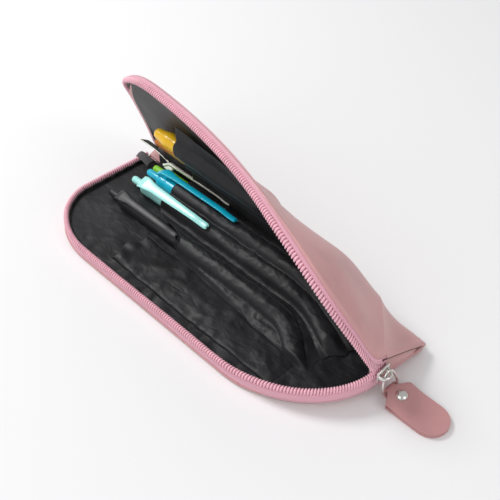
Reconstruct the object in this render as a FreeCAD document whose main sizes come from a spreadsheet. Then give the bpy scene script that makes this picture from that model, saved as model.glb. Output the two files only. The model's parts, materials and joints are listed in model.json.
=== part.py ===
"""Soft zip pen case, lying open, holding four click pens, a marker and a pencil. Millimetres.

+X runs along the case to the end that stays shut, +Y to the spine that the lid folds on,
+Z up. The origin is the middle of the underside. The lid is leather that twists from wide
open at its free end to shut at the slider, so it is built shut, cut into staves across its
length, and each stave is turned up about the spine by its own share of the opening.
"""

import FreeCAD, Part
import math
import os

import Sketcher

V = FreeCAD.Vector
doc = FreeCAD.newDocument("pen_case")

# ---------------------------------------------------------------- driving sizes
SIZES = {
    # case
    "case_length": 215, "case_depth": 81, "corner_left": 28, "corner_right": 45,
    "corner_back": 3, "leather": 1.4, "board": 1.0, "satin": 0.6, "clearance": 0.3,
    "board_inset": 4.5, "lining_inset": 2.2, "seam_width": 3.0, "seam_tall": 1.2,
    "spine_rise": 5, "spine_wall": 1.2,
    # zip
    "rim_rise": 5.4, "rim_slope": 9, "tape_wall": 0.8, "coil_wide": 2.6, "coil_tall": 2.4,
    "coil_gap": 1.8, "zip_tail": 7, "tail_thick": 1.0, "tail_tall": 5,
    # lid, shut: how far its leather stands above the hinge line
    "lid_back_rise": 12.5, "lid_back_run": 4, "lid_front_rise": 16.5, "lid_start": 1.0,
    "mouth_depth": 36, "mouth_rise": 18,
    "opening": 69.5, "stave_gap": 0.4,
    # pens
    "pen_width": 8.4, "pen_length": 128, "pen_pitch": 7.8, "pen_lift": 3.8, "pen_bore": 5.6,
    "nose_length": 14, "nose_width": 3, "tip_bore": 1.8, "refill_width": 3,
    "plunger_width": 4.6, "plunger_out": 11, "plunger_in": 15, "click_travel": 4,
    "clip_thick": 1.5, "clip_wide": 3.4, "clip_length": 52, "clip_foot": 7,
    "clip_foot_gap": 2, "first_pen_depth": 6.6, "loose_pen_depth": 39.5,
    "marker_width": 9.6, "marker_length": 82, "marker_cap": 40, "marker_cap_wall": 0.8,
    "pencil_width": 6.6, "pencil_length": 84, "marker_depth": 38, "pencil_depth": 28.5,
    # pockets
    "channel_start": -61, "channel_end": 83, "pocket_start": -50, "pocket_end": 72,
    "pocket_near": 46, "pocket_far": 73, "pocket_thick": 1.0, "lid_pocket_start": -70,
    "lid_pocket_end": 9, "lid_pocket_near": 24, "lid_pocket_far": 46, "lid_pocket_lift": 10.2,
    # slider and pull
    "plate_thick": 1.2, "slider_length": 8.4, "slider_width": 8.4, "slider_depth": 36.5,
    "slider_clearance": 0.5, "post_width": 1.2, "bridge_thick": 1.1, "bridge_inner": 5.4,
    "bridge_reach": 2.6, "bridge_wide": 1.4, "ring_wire": 1.3, "ring_width": 10,
    "tag_length": 34, "tag_width": 18, "tag_thick": 1.2, "tag_neck": 6.6, "neck_length": 10,
    "tag_depth": 32, "fold_out": 4.9, "rivet_width": 5.8, "rivet_dome": 1.1,
    "rivet_inset": 9,
}
sheet = doc.addObject("Spreadsheet::Sheet", "Sizes")
for row, (alias, number) in enumerate(SIZES.items(), start=1):
    sheet.set(f"A{row}", alias)
    sheet.set(f"B{row}", str(number))
    sheet.setAlias(f"B{row}", alias)
doc.recompute()


def value(expression):
    """What an expression in the sheet's names comes to, as a plain number."""
    result = sheet.evalExpression(expression)
    return float(getattr(result, "Value", result))


# Places that several pieces share, as expressions in the sheet's names.
HALF = "Sizes.case_length / 2"
SPINE_Y = "Sizes.case_depth / 2"
HINGE_Z = "Sizes.spine_rise"
FLOOR_Z = "(Sizes.leather + Sizes.board + Sizes.satin)"
BEND_X = "(Sizes.case_length / 2 - Sizes.corner_right)"
RIM_Z = "Sizes.rim_rise"
COIL_TOP = "(Sizes.rim_rise + Sizes.coil_tall)"
LID_COIL = "(Sizes.rim_rise + Sizes.coil_tall + Sizes.coil_gap)"
LID_RIM = "(Sizes.rim_rise + 2 * Sizes.coil_tall + Sizes.coil_gap)"
PEN_Z = f"({FLOOR_Z} + Sizes.clearance + Sizes.pen_width / 2)"
CHAIN_Z = (
    "(Sizes.rim_rise + Sizes.coil_tall + Sizes.coil_gap / 2"
    " + Sizes.corner_right * tan(Sizes.rim_slope * 1deg))"
)
hinge = V(0, value(SPINE_Y), value(HINGE_Z))
nodes = {}


# ---------------------------------------------------------------- helpers
def origin_plane(body, role):
    return next(f for f in body.Origin.OriginFeatures if f.Role == role)


def polygon_body(name, role, points, length, offset="0", symmetric=False):
    """A body whose one pad is a closed polygon of (expression, expression) corners."""
    body = doc.addObject("PartDesign::Body", name)
    sketch = body.newObject("Sketcher::SketchObject", f"{name}_sketch")
    sketch.AttachmentSupport = [(origin_plane(body, role), "")]
    sketch.MapMode = "FlatFace"
    sketch.setExpression("AttachmentOffset.Base.z", offset)
    corners = [(value(a), value(b)) for a, b in points]
    count = len(corners)
    for i, corner in enumerate(corners):
        following = corners[(i + 1) % count]
        sketch.addGeometry(Part.LineSegment(V(*corner, 0), V(*following, 0)), False)
    for i in range(count):
        sketch.addConstraint(Sketcher.Constraint("Coincident", i, 2, (i + 1) % count, 1))
    for i, pair in enumerate(points):
        for kind, expression in zip(("DistanceX", "DistanceY"), pair):
            rule = Sketcher.Constraint(kind, -1, 1, i, 1, value(expression))
            sketch.setExpression(f"Constraints[{sketch.addConstraint(rule)}]", expression)
    pad = body.newObject("PartDesign::Pad", f"{name}_pad")
    pad.Profile = sketch
    pad.SideType = "Symmetric" if symmetric else "One side"
    pad.setExpression("Length", length)
    doc.recompute()
    return body


def case_blank(name, inset, low, tall):
    """The case's outline, drawn in by inset, as a plate from low that is tall thick."""
    x, y = f"({HALF} - {inset})", f"({SPINE_Y} - {inset})"
    body = polygon_body(
        name, "XY_Plane", [(f"-{x}", f"-{y}"), (x, f"-{y}"), (x, y), (f"-{x}", y)], tall, low
    )
    pad = body.Tip
    for corner, sign_x, sign_y in (
        ("corner_left", -1, -1), ("corner_right", 1, -1),
        ("corner_back", -1, 1), ("corner_back", 1, 1),
    ):
        base = body.Tip
        edges = [
            f"Edge{k}"
            for k, edge in enumerate(base.Shape.Edges, start=1)
            if edge.BoundBox.ZLength > value(tall) * 0.99
            and edge.BoundBox.XLength + edge.BoundBox.YLength < 1e-6
            and abs(edge.BoundBox.XMin - sign_x * value(x)) < 1e-6
            and abs(edge.BoundBox.YMin - sign_y * value(y)) < 1e-6
        ]
        fillet = body.newObject("PartDesign::Fillet", f"{name}_{corner}_{sign_x}_{sign_y}")
        fillet.Base = (base, edges)
        fillet.setExpression("Radius", f"max(Sizes.{corner} - ({inset}); 0.5)")
        doc.recompute()
    return body


def cut(name, base, tool):
    made = doc.addObject("Part::Cut", name)
    made.Base, made.Tool = base, tool
    doc.recompute()
    return made


def common(name, *shapes):
    made = doc.addObject("Part::MultiCommon", name)
    made.Shapes = list(shapes)
    doc.recompute()
    return made


def fuse(name, *shapes):
    made = doc.addObject("Part::MultiFuse", name)
    made.Shapes = list(shapes)
    doc.recompute()
    return made


def box(name, low, high):
    """A box from one corner to the other, each three expressions."""
    made = doc.addObject("Part::Box", name)
    for side, a, b in zip(("Length", "Width", "Height"), low, high):
        made.setExpression(side, f"({b}) - ({a})")
    for axis, a in zip("xyz", low):
        made.setExpression(f"Placement.Base.{axis}", a)
    doc.recompute()
    return made


def rod(name, start, end, width):
    """A round bar between two points, its width an expression."""
    made = doc.addObject("Part::Cylinder", name)
    made.setExpression("Radius", f"({width}) / 2")
    made.Height = (end - start).Length
    made.Placement = FreeCAD.Placement(start, FreeCAD.Rotation(V(0, 0, 1), end - start))
    doc.recompute()
    return made


def ball(name, centre, width):
    made = doc.addObject("Part::Sphere", name)
    made.setExpression("Radius", f"({width}) / 2")
    made.Placement.Base = centre
    doc.recompute()
    return made


def keep(node, made):
    """Names a finished sub-part as a node of the assembly."""
    made.Label = node
    nodes[node] = made
    return made


def depth(distance):
    """The Y of a place that far forward of the spine."""
    return f"({SPINE_Y} - ({distance}))"


# ---------------------------------------------------------------- rim and walls
def rim_layer(name, low, high, flat_bottom=False, flat_top=False):
    """All the space between two heights that climb with the rim past the last bend."""
    climb = "(Sizes.corner_right + 10) * tan(Sizes.rim_slope * 1deg)"
    far = f"({BEND_X} + Sizes.corner_right + 10)"
    near = f"-({HALF} + 10)"
    end_low = low if flat_bottom else f"({low}) + {climb}"
    end_high = high if flat_top else f"({high}) + {climb}"
    points = [(near, low)]
    if not flat_bottom:
        points.append((BEND_X, low))
    points += [(far, end_low), (far, end_high)]
    if not flat_top:
        points.append((BEND_X, high))
    points.append((near, high))
    return polygon_body(
        name, "XZ_Plane", points, "Sizes.case_depth * 2", symmetric=True
    )


def ring(name, outside, inside):
    """A wall round the case, from one inset to another, as tall as the shut case."""
    return cut(
        name,
        case_blank(f"{name}_outer", outside, "0", "60"),
        case_blank(f"{name}_inner", inside, "-1", "62"),
    )


zip_run = cut(
    "zip_run",
    box("zip_run_all", (f"-{HALF} - 5", f"-{SPINE_Y} - 5", "-5"),
        (f"{HALF} + 5", depth("Sizes.zip_tail"), "70")),
    box("zip_run_end", ("0", depth("Sizes.mouth_depth"), "-6"),
        (f"{HALF} + 6", f"{SPINE_Y} + 6", "71")),
)
tape_ring = ring("tape_ring", "0", "Sizes.tape_wall")
coil_ring = ring(
    "coil_ring",
    "(Sizes.tape_wall - Sizes.coil_wide) / 2", "(Sizes.tape_wall + Sizes.coil_wide) / 2",
)

# ---------------------------------------------------------------- base of the case
keep("base_panel", case_blank("base_panel_body", "0", "0", "Sizes.leather"))
keep("base_board", case_blank(
    "base_board_body", "Sizes.board_inset", "Sizes.leather", "Sizes.board"))
keep("base_lining", case_blank(
    "base_lining_body", "Sizes.lining_inset", "Sizes.leather + Sizes.board", "Sizes.satin"))
keep("base_zip_tape", common(
    "base_tape_cut", tape_ring, zip_run,
    rim_layer("base_tape_layer", "Sizes.leather", RIM_Z, flat_bottom=True)))
keep("base_zip_coil", common(
    "base_coil_cut", coil_ring, zip_run, rim_layer("base_coil_layer", RIM_Z, COIL_TOP)))
seam_top = f"({FLOOR_Z} + Sizes.seam_tall)"
keep("base_seam_binding", common(
    "base_seam_cut",
    ring("seam_ring", "Sizes.lining_inset", "(Sizes.lining_inset + Sizes.seam_width)"),
    box("seam_space", (f"-{HALF}", f"-{SPINE_Y}", FLOOR_Z),
        (BEND_X, depth("Sizes.zip_tail"), seam_top))))
keep("spine_strip", box(
    "spine_box", (f"-{HALF} + Sizes.corner_back", SPINE_Y, "0"),
    (f"{HALF} - Sizes.corner_back", f"{SPINE_Y} + Sizes.spine_wall", HINGE_Z)))
wall_x = f"({HALF} - Sizes.leather)"
keep("end_gusset", polygon_body(
    "end_gusset_body", "YZ_Plane",
    [(depth("Sizes.mouth_depth - 0.2"), "Sizes.leather"),
     (depth("Sizes.corner_back"), "Sizes.leather"),
     (depth("Sizes.corner_back"), HINGE_Z),
     (depth("Sizes.mouth_depth - 0.2"), f"{HINGE_Z} + Sizes.mouth_rise")],
    "Sizes.leather", wall_x))
tail_y = depth("Sizes.zip_tail - Sizes.clearance")
keep("base_zip_tail", box(
    "base_tail_box", (f"-{HALF} - 1", tail_y, "Sizes.leather"),
    (f"-{HALF} - 1 + Sizes.tail_thick", depth("1"),
     "Sizes.leather + Sizes.tail_tall")))

# ---------------------------------------------------------------- pockets in the base
pen_half = "(Sizes.pen_width / 2 + Sizes.clearance)"
near_run = f"(Sizes.first_pen_depth - {pen_half} + 0.6)"
mid_run = "(Sizes.first_pen_depth + Sizes.pen_pitch)"
far_run = f"(Sizes.first_pen_depth + 2 * Sizes.pen_pitch + {pen_half})"
low_top = f"({PEN_Z} + {pen_half})"
high_top = f"({low_top} + Sizes.pen_lift)"
over = "Sizes.satin"


def channel_section(name, offset, length):
    """The sheet that is sewn down beside the pens and passes over all three of them."""
    shoulder = "Sizes.pen_width * 0.42"
    foot = "(Sizes.pen_pitch - Sizes.clip_wide / 2 - 0.1)"
    under = [
        (depth(far_run), FLOOR_Z), (depth(far_run), low_top),
        (depth(f"{mid_run} + {foot}"), low_top),
        (depth(f"{mid_run} + {shoulder}"), high_top),
        (depth(f"{mid_run} - {shoulder}"), high_top),
        (depth(f"{mid_run} - {foot}"), low_top), (depth(near_run), low_top),
    ]
    above = [
        (depth(near_run), f"{low_top} + {over}"),
        (depth(f"{mid_run} - {foot}"), f"{low_top} + {over}"),
        (depth(f"{mid_run} - {shoulder}"), f"{high_top} + {over}"),
        (depth(f"{mid_run} + {shoulder}"), f"{high_top} + {over}"),
        (depth(f"{mid_run} + {foot}"), f"{low_top} + {over}"),
        (f"{depth(far_run)} - {over}", f"{low_top} + {over}"),
        (f"{depth(far_run)} - {over}", FLOOR_Z),
    ]
    return polygon_body(name, "YZ_Plane", under + above, length, offset)


keep("pen_channels", channel_section(
    "pen_channels_body", "Sizes.channel_start", "Sizes.channel_end - Sizes.channel_start"))
keep("flat_pocket", box(
    "flat_pocket_box", ("Sizes.pocket_start", depth("Sizes.pocket_far"), FLOOR_Z),
    ("Sizes.pocket_end", depth("Sizes.pocket_near"), f"{FLOOR_Z} + Sizes.pocket_thick")))

# ---------------------------------------------------------------- lid, built shut
def lid_profile(name, drop, thick):
    """The lid's bent section, drop under its outer face, over the case's whole length."""
    def corner(run, rise, inward):
        y = depth(f"{run} + {inward}")
        return (y, f"{HINGE_Z} + {rise} - {inward}")

    outer, inner = f"({drop})", f"({drop} + {thick})"
    front = depth("Sizes.case_depth + 2")
    points = [
        (depth(f"Sizes.lid_start + {outer}"), f"{HINGE_Z} + Sizes.clearance"),
        corner("Sizes.lid_start", "(Sizes.lid_back_rise - Sizes.lid_back_run)", outer),
        corner("(Sizes.lid_start + Sizes.lid_back_run)", "Sizes.lid_back_rise", outer),
        (front, f"{HINGE_Z} + Sizes.lid_front_rise - {outer}"),
        (front, f"{HINGE_Z} + Sizes.lid_front_rise - {inner}"),
        corner("(Sizes.lid_start + Sizes.lid_back_run)", "Sizes.lid_back_rise", inner),
        corner("Sizes.lid_start", "(Sizes.lid_back_rise - Sizes.lid_back_run)", inner),
        (depth(f"Sizes.lid_start + {inner}"), f"{HINGE_Z} + Sizes.clearance"),
    ]
    return polygon_body(name, "YZ_Plane", points, "Sizes.case_length * 1.2", symmetric=True)


def corner_profile(name, drop, thick):
    """The lid's section by the slider, which climbs straight up with the end gusset."""
    slope = "(Sizes.mouth_rise / Sizes.mouth_depth)"
    near = depth("Sizes.corner_back + Sizes.lid_start")
    far = depth("Sizes.mouth_depth")
    front = depth("Sizes.case_depth + 2")
    start = f"{HINGE_Z} + {slope} * (Sizes.corner_back + Sizes.lid_start) + Sizes.clearance"
    top = f"{HINGE_Z} + Sizes.mouth_rise + Sizes.clearance"
    return polygon_body(
        name, "YZ_Plane",
        [(near, f"{start} + Sizes.leather - {drop}"), (far, f"{top} + Sizes.leather - {drop}"),
         (front, f"{top} + Sizes.leather - {drop}"),
         (front, f"{top} + Sizes.leather - {drop} - {thick}"),
         (far, f"{top} + Sizes.leather - {drop} - {thick}"),
         (near, f"{start} + Sizes.leather - {drop} - {thick}")],
        "Sizes.case_length * 1.2", symmetric=True)


def under_lid(name):
    """The space under the shut lid's lining, clear of the hinge, for its zip tape."""
    front, back = depth("Sizes.case_depth + 4"), depth("Sizes.zip_tail")
    drop = "(Sizes.leather + 0.01)"
    slope = (
        "((Sizes.lid_front_rise - Sizes.lid_back_rise)"
        " / (Sizes.case_depth + 2 - Sizes.lid_start - Sizes.lid_back_run))"
    )
    at_back = f"{HINGE_Z} + Sizes.lid_back_rise - {drop} + {slope}"
    at_front = f"{HINGE_Z} + Sizes.lid_front_rise - {drop}"
    return polygon_body(
        name, "YZ_Plane",
        [(front, "0"), (back, "0"), (back, at_back), (front, at_front)],
        "Sizes.case_length * 1.2", symmetric=True)


outline = case_blank("lid_outline", "0", "0", "60")
inner_outline = case_blank("lid_inner_outline", "Sizes.lining_inset", "0", "60")
lid_leather = common("lid_leather", lid_profile("lid_leather_section", "0", "Sizes.leather"),
                     outline)
lid_satin = common(
    "lid_satin", lid_profile("lid_satin_section", "Sizes.leather", "Sizes.satin"),
    inner_outline)
corner_leather = common(
    "corner_leather", corner_profile("corner_leather_section", "0", "Sizes.leather"), outline)
corner_satin = common(
    "corner_satin", corner_profile("corner_satin_section", "Sizes.leather", "Sizes.satin"),
    inner_outline)
lid_tape = common("lid_tape_all", tape_ring, zip_run, under_lid("under_lid_space"),
                  rim_layer("lid_tape_layer", LID_RIM, "60", flat_top=True))
lid_coil = common("lid_coil_all", coil_ring, zip_run,
                  rim_layer("lid_coil_layer", LID_COIL, LID_RIM))
corner_tape = common(
    "corner_tape_all", tape_ring, zip_run,
    rim_layer("corner_tape_layer", LID_RIM,
              f"{HINGE_Z} + Sizes.mouth_rise + Sizes.clearance", flat_top=True))

# Each stave: where it ends along the case and its share of the lid's opening.
STAVES = (("tip", -107.5, -50, 1.0), ("mid", -50, 10, 0.91), ("shoulder", 10, 55, 0.79),
          ("heel", 55, 92, 0.60), ("corner", 92, 107.5, 0.0))


def turned(share):
    """Where a stave of the shut lid stands when the lid is as open as it lies here."""
    turn = FreeCAD.Rotation(V(1, 0, 0), -value("Sizes.opening") * share)
    return FreeCAD.Placement(V(0, 0, 0), turn, hinge)


def stave_space(stave):
    """The slab of the case's length that one stave takes."""
    name, start, end, share = stave
    half = value(HALF)
    scale = half / 107.5
    gap = value("Sizes.stave_gap") / 2
    low = start * scale + gap if start > -107 else -half - 5
    high = end * scale - gap if end < 107 else half + 5
    made = doc.addObject("Part::Box", f"{name}_slab")
    made.Length, made.Width, made.Height = high - low, 2 * value("Sizes.case_depth"), 90
    made.Placement.Base = V(low, -value("Sizes.case_depth"), -5)
    doc.recompute()
    return made


for stave in STAVES:
    name, start, end, share = stave
    slab = stave_space(stave)
    fixed = share == 0
    for node, source in (
        (f"lid_panel_{name}", corner_leather if fixed else lid_leather),
        (f"lid_lining_{name}", corner_satin if fixed else lid_satin),
        (f"lid_tape_{name}", corner_tape if fixed else lid_tape),
        (f"lid_coil_{name}", lid_coil),
    ):
        piece = keep(node, common(f"{node}_cut", source, slab))
        piece.Placement = turned(share)


# ---------------------------------------------------------------- what is sewn on the lid
lining_rise = "(Sizes.lid_back_rise - Sizes.leather - Sizes.satin)"
tip_turn = turned(1.0)
tail_low, tail_high = f"{HINGE_Z} + 5", f"{HINGE_Z} + 5 + Sizes.tail_tall"
tail_far, tail_near = depth("2 * Sizes.zip_tail + 4"), depth("Sizes.zip_tail")
tail = keep("lid_zip_tail", polygon_body(
    "lid_tail_body", "YZ_Plane",
    [(tail_far, tail_low), (tail_near, tail_low), (tail_near, tail_high),
     (tail_far, tail_high)],
    "Sizes.tail_thick", f"-{HALF} - 2.4"))
tail.Placement = tip_turn
mid_turn = turned(0.91)
pocket_top = f"{HINGE_Z} + {lining_rise}"
pocket_face = f"({pocket_top} - Sizes.lid_pocket_lift)"
lid_pocket = keep("lid_pocket", polygon_body(
    "lid_pocket_body", "YZ_Plane",
    [(depth("Sizes.lid_pocket_far"), pocket_face),
     (depth("Sizes.lid_pocket_near"), pocket_face),
     (depth("Sizes.lid_pocket_near"), f"{pocket_face} + Sizes.satin"),
     (depth("Sizes.lid_pocket_far - Sizes.satin"), f"{pocket_face} + Sizes.satin"),
     (depth("Sizes.lid_pocket_far - Sizes.satin"), pocket_top),
     (depth("Sizes.lid_pocket_far"), pocket_top)],
    "Sizes.lid_pocket_end - Sizes.lid_pocket_start", "Sizes.lid_pocket_start"))
lid_pocket.Placement = mid_turn


# ---------------------------------------------------------------- pens
def turned_body(name, profile):
    """A body turned about the X axis from a profile of (along, radius) corners."""
    body = doc.addObject("PartDesign::Body", name)
    sketch = body.newObject("Sketcher::SketchObject", f"{name}_sketch")
    sketch.AttachmentSupport = [(origin_plane(body, "XZ_Plane"), "")]
    sketch.MapMode = "FlatFace"
    corners = [(value(a), value(b)) for a, b in profile]
    count = len(corners)
    for i, corner in enumerate(corners):
        sketch.addGeometry(
            Part.LineSegment(V(*corner, 0), V(*corners[(i + 1) % count], 0)), False)
    for i in range(count):
        sketch.addConstraint(Sketcher.Constraint("Coincident", i, 2, (i + 1) % count, 1))
    for i, pair in enumerate(profile):
        for kind, expression in zip(("DistanceX", "DistanceY"), pair):
            rule = Sketcher.Constraint(kind, -1, 1, i, 1, value(expression))
            sketch.setExpression(f"Constraints[{sketch.addConstraint(rule)}]", expression)
    turn = body.newObject("PartDesign::Revolution", f"{name}_turn")
    turn.Profile = sketch
    turn.ReferenceAxis = (sketch, ["H_Axis"])
    turn.Angle = 360
    doc.recompute()
    return body


def place(made, start, turn=None):
    """Puts a piece that was made at the origin where its body stands."""
    made.Placement = FreeCAD.Placement(start, turn or FreeCAD.Rotation()).multiply(
        made.Placement)
    doc.recompute()
    return made


def click_pen(pen, x, y, z, clip_length):
    """A retractable pen along X: barrel, clip, plunger and refill, its button at x."""
    half, bore = "Sizes.pen_width / 2", "Sizes.pen_bore / 2"
    full = "Sizes.pen_length"
    body_end = "(Sizes.pen_length - Sizes.nose_length)"
    barrel = turned_body(f"{pen}_barrel_body", [
        ("0", bore), ("0", half), (body_end, half), (full, "Sizes.nose_width / 2"),
        (full, "Sizes.tip_bore / 2"), (body_end, "Sizes.tip_bore / 2"), (body_end, bore)])
    plunger = turned_body(f"{pen}_plunger_body", [
        ("-Sizes.plunger_out", "0"), ("-Sizes.plunger_out", "Sizes.plunger_width / 2"),
        ("Sizes.plunger_in", "Sizes.plunger_width / 2"), ("Sizes.plunger_in", "0")])
    refill_start = "(Sizes.plunger_in + Sizes.click_travel + 1)"
    refill = turned_body(f"{pen}_refill_body", [
        (refill_start, "0"), (refill_start, "Sizes.refill_width / 2"),
        (f"{body_end} - 3", "Sizes.refill_width / 2"), (f"{body_end} - 3", "0")])
    foot_z = f"({half} - 0.1)"
    bar_z = f"({half} + 2 * Sizes.clearance + Sizes.satin + 0.4)"
    wide = "Sizes.clip_wide / 2"
    start, bar_end = "Sizes.clip_foot_gap", f"(Sizes.clip_foot_gap + {clip_length})"
    foot = box(f"{pen}_clip_foot", (start, f"-{wide}", foot_z),
               (f"{start} + Sizes.clip_foot", wide, f"{bar_z} + Sizes.clip_thick"))
    bar = box(f"{pen}_clip_bar", (start, f"-{wide}", bar_z),
              (bar_end, wide, f"{bar_z} + Sizes.clip_thick"))
    clip = cut(f"{pen}_clip_cut", fuse(f"{pen}_clip_blank", foot, bar), barrel_space(pen))
    at = V(x + value("Sizes.plunger_out"), y, z)
    for node, made in ((f"{pen}_barrel", barrel), (f"{pen}_plunger", plunger),
                       (f"{pen}_refill", refill), (f"{pen}_clip", clip)):
        keep(node, place(made, at))


def barrel_space(pen):
    """The barrel's solid shape, which the clip's foot is hollowed to sit on."""
    made = doc.addObject("Part::Cylinder", f"{pen}_barrel_space")
    made.setExpression("Radius", "Sizes.pen_width / 2")
    made.setExpression("Height", "Sizes.pen_length")
    made.Placement = FreeCAD.Placement(V(0, 0, 0), FreeCAD.Rotation(V(0, 1, 0), 90))
    doc.recompute()
    return made


pen_z = value(PEN_Z)
for pen, x, run, lift, clip_length in (
    ("green_pen", -92, "Sizes.first_pen_depth", 0, "Sizes.clip_length - 10"),
    ("blue_pen", -87.5, mid_run, 1, "Sizes.clip_length"),
    ("mint_pen", -92.5, "Sizes.first_pen_depth + 2 * Sizes.pen_pitch", 0,
     "Sizes.clip_length + 4"),
    ("dark_pen", -92, "Sizes.loose_pen_depth", 0, "Sizes.clip_length"),
):
    click_pen(pen, x, value(depth(run)), pen_z + lift * value("Sizes.pen_lift"), clip_length)

# The two in the lid's pocket lie along the lid's middle stave, a little nose down.
lean = FreeCAD.Rotation(V(1, 0, 0), V(96, 6, 0))
marker_z = value(f"{pocket_top} - Sizes.marker_width / 2 + 0.4")
pencil_z = value(f"{pocket_top} - Sizes.pencil_width / 2")
marker_half, cap_wall = "Sizes.marker_width / 2", "Sizes.marker_cap_wall"
marker = turned_body("marker_body", [
    (f"{cap_wall} + 0.2", "0"), (f"{cap_wall} + 0.2", f"{marker_half} - {cap_wall} - 0.2"),
    ("Sizes.marker_cap + 0.2", f"{marker_half} - {cap_wall} - 0.2"),
    ("Sizes.marker_cap + 0.2", marker_half), ("Sizes.marker_length", marker_half),
    ("Sizes.marker_length", "0")])
marker_cap = turned_body("marker_cap_body", [
    ("0", "0"), ("0", marker_half), ("Sizes.marker_cap", marker_half),
    ("Sizes.marker_cap", f"{marker_half} - {cap_wall}"),
    (cap_wall, f"{marker_half} - {cap_wall}"), (cap_wall, "0")])
pencil = turned_body("pencil_body", [
    ("0", "0"), ("0", "Sizes.pencil_width / 2"), ("Sizes.pencil_length", "Sizes.pencil_width / 2"),
    ("Sizes.pencil_length + 10", "0.6"), ("Sizes.pencil_length + 10", "0")])
for node, made, start in (
    ("marker_barrel", marker, V(-79, value(depth("Sizes.marker_depth")), marker_z)),
    ("marker_cap", marker_cap, V(-79, value(depth("Sizes.marker_depth")), marker_z)),
    ("pencil", pencil, V(-87, value(depth("Sizes.pencil_depth")), pencil_z)),
):
    keep(node, place(place(made, start, lean), mid_turn.Base, mid_turn.Rotation))

# ---------------------------------------------------------------- slider and pull
chain_x = value(f"{HALF} - Sizes.tape_wall / 2")
slider_y = value(depth("Sizes.slider_depth"))
chain_z = value(CHAIN_Z)
gap_x = value("Sizes.coil_wide / 2 + Sizes.slider_clearance")
thick = value("Sizes.plate_thick")
half_long, half_wide = value("Sizes.slider_length / 2"), value("Sizes.slider_width / 2")


def solid_box(name, low, high):
    """A box between two corners given as numbers."""
    made = doc.addObject("Part::Box", name)
    made.Length, made.Width, made.Height = high.x - low.x, high.y - low.y, high.z - low.z
    made.Placement.Base = low
    doc.recompute()
    return made


def plate(name, near, far):
    """One of the slider's two plates, with its long edges rounded."""
    made = solid_box(f"{name}_box", V(near, slider_y - half_long, chain_z - half_wide),
                     V(far, slider_y + half_long, chain_z + half_wide))
    fillet = doc.addObject("Part::Fillet", name)
    fillet.Base = made
    fillet.Edges = [
        (k, 2.0, 2.0) for k, edge in enumerate(made.Shape.Edges, start=1)
        if edge.BoundBox.XLength > thick * 0.9]
    doc.recompute()
    return fillet


post_half = value("Sizes.post_width / 2")
post = solid_box("slider_post", V(chain_x - gap_x - 0.1, slider_y - half_long + 0.3,
                                  chain_z - post_half),
                 V(chain_x + gap_x + 0.1, slider_y - half_long + 1.6, chain_z + post_half))
inner_plate = plate("slider_inner_plate", chain_x - gap_x - thick, chain_x - gap_x)
outer_plate = plate("slider_outer_plate", chain_x + gap_x, chain_x + gap_x + thick)
keep("slider_body", fuse("slider_body_fuse", inner_plate, outer_plate, post))
face_x = chain_x + gap_x + thick
inner_half, reach = value("Sizes.bridge_inner / 2"), value("Sizes.bridge_reach")
bridge_thick, bridge_half = value("Sizes.bridge_thick"), value("Sizes.bridge_wide / 2")
bridge_blank = solid_box(
    "bridge_blank", V(face_x, slider_y - inner_half - bridge_thick, chain_z - bridge_half),
    V(face_x + reach + bridge_thick, slider_y + inner_half + bridge_thick,
      chain_z + bridge_half))
bridge_hole = solid_box(
    "bridge_hole", V(face_x - 1, slider_y - inner_half, chain_z - bridge_half - 1),
    V(face_x + reach, slider_y + inner_half, chain_z + bridge_half + 1))
keep("slider_bridge", cut("slider_bridge_cut", bridge_blank, bridge_hole))

wire = "Sizes.ring_wire"
half_ring = value("Sizes.ring_width / 2")
top = V(face_x + value("Sizes.ring_wire / 2") + 0.5, slider_y, chain_z)
across = V(0, -math.sqrt(0.5), -math.sqrt(0.5)) * half_ring
tag_y = value(depth("Sizes.tag_depth"))
tag_thick = value("Sizes.tag_thick")
bar_z = value("Sizes.ring_wire / 2") + tag_thick + 0.5
bar = V(value(f"{HALF} + Sizes.fold_out"), tag_y, bar_z)
corners = [top - across, top + across, bar + V(0, -half_ring, 0), bar + V(0, half_ring, 0)]
ring_parts = []
for i, corner in enumerate(corners):
    ring_parts.append(rod(f"ring_side_{i}", corner, corners[(i + 1) % 4], wire))
    ring_parts.append(ball(f"ring_corner_{i}", corner, wire))
keep("pull_ring", fuse("pull_ring_fuse", *ring_parts))

# The tag is one strip, folded round the ring's lower bar and riveted to itself.
neck_half, tag_half = value("Sizes.tag_neck / 2"), value("Sizes.tag_width / 2")
fold_far = value("Sizes.ring_wire / 2 + Sizes.tag_thick") + 0.4
tag_start = bar.x - fold_far
tag_end = tag_start + value("Sizes.tag_length")
neck_straight = tag_start + 2 * fold_far
neck_end = tag_start + value("Sizes.neck_length")
tag_body = doc.addObject("PartDesign::Body", "pull_tag_body")
tag_sketch = tag_body.newObject("Sketcher::SketchObject", "pull_tag_sketch")
tag_sketch.AttachmentSupport = [(origin_plane(tag_body, "XY_Plane"), "")]
tag_sketch.MapMode = "FlatFace"
outline_points = [
    V(tag_start, -neck_half, 0), V(neck_straight, -neck_half, 0),
    V(neck_end, -tag_half, 0), V(tag_end, -tag_half, 0),
    V(tag_end, tag_half, 0), V(neck_end, tag_half, 0),
    V(neck_straight, neck_half, 0), V(tag_start, neck_half, 0)]
for i, point in enumerate(outline_points):
    tag_sketch.addGeometry(Part.LineSegment(point, outline_points[(i + 1) % 8]), False)
    tag_sketch.addConstraint(Sketcher.Constraint("Block", i))
tag_pad = tag_body.newObject("PartDesign::Pad", "pull_tag_pad")
tag_pad.Profile = tag_sketch
fold_tall = 2 * fold_far
tag_pad.Length = fold_tall
doc.recompute()
tag_round = tag_body.newObject("PartDesign::Fillet", "pull_tag_round")
tag_round.Base = (tag_pad, [
    f"Edge{k}" for k, edge in enumerate(tag_pad.Shape.Edges, start=1)
    if edge.BoundBox.ZLength > fold_tall * 0.9 and edge.BoundBox.XMin > tag_end - 0.1])
tag_round.Radius = tag_half - 0.6
doc.recompute()
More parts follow.
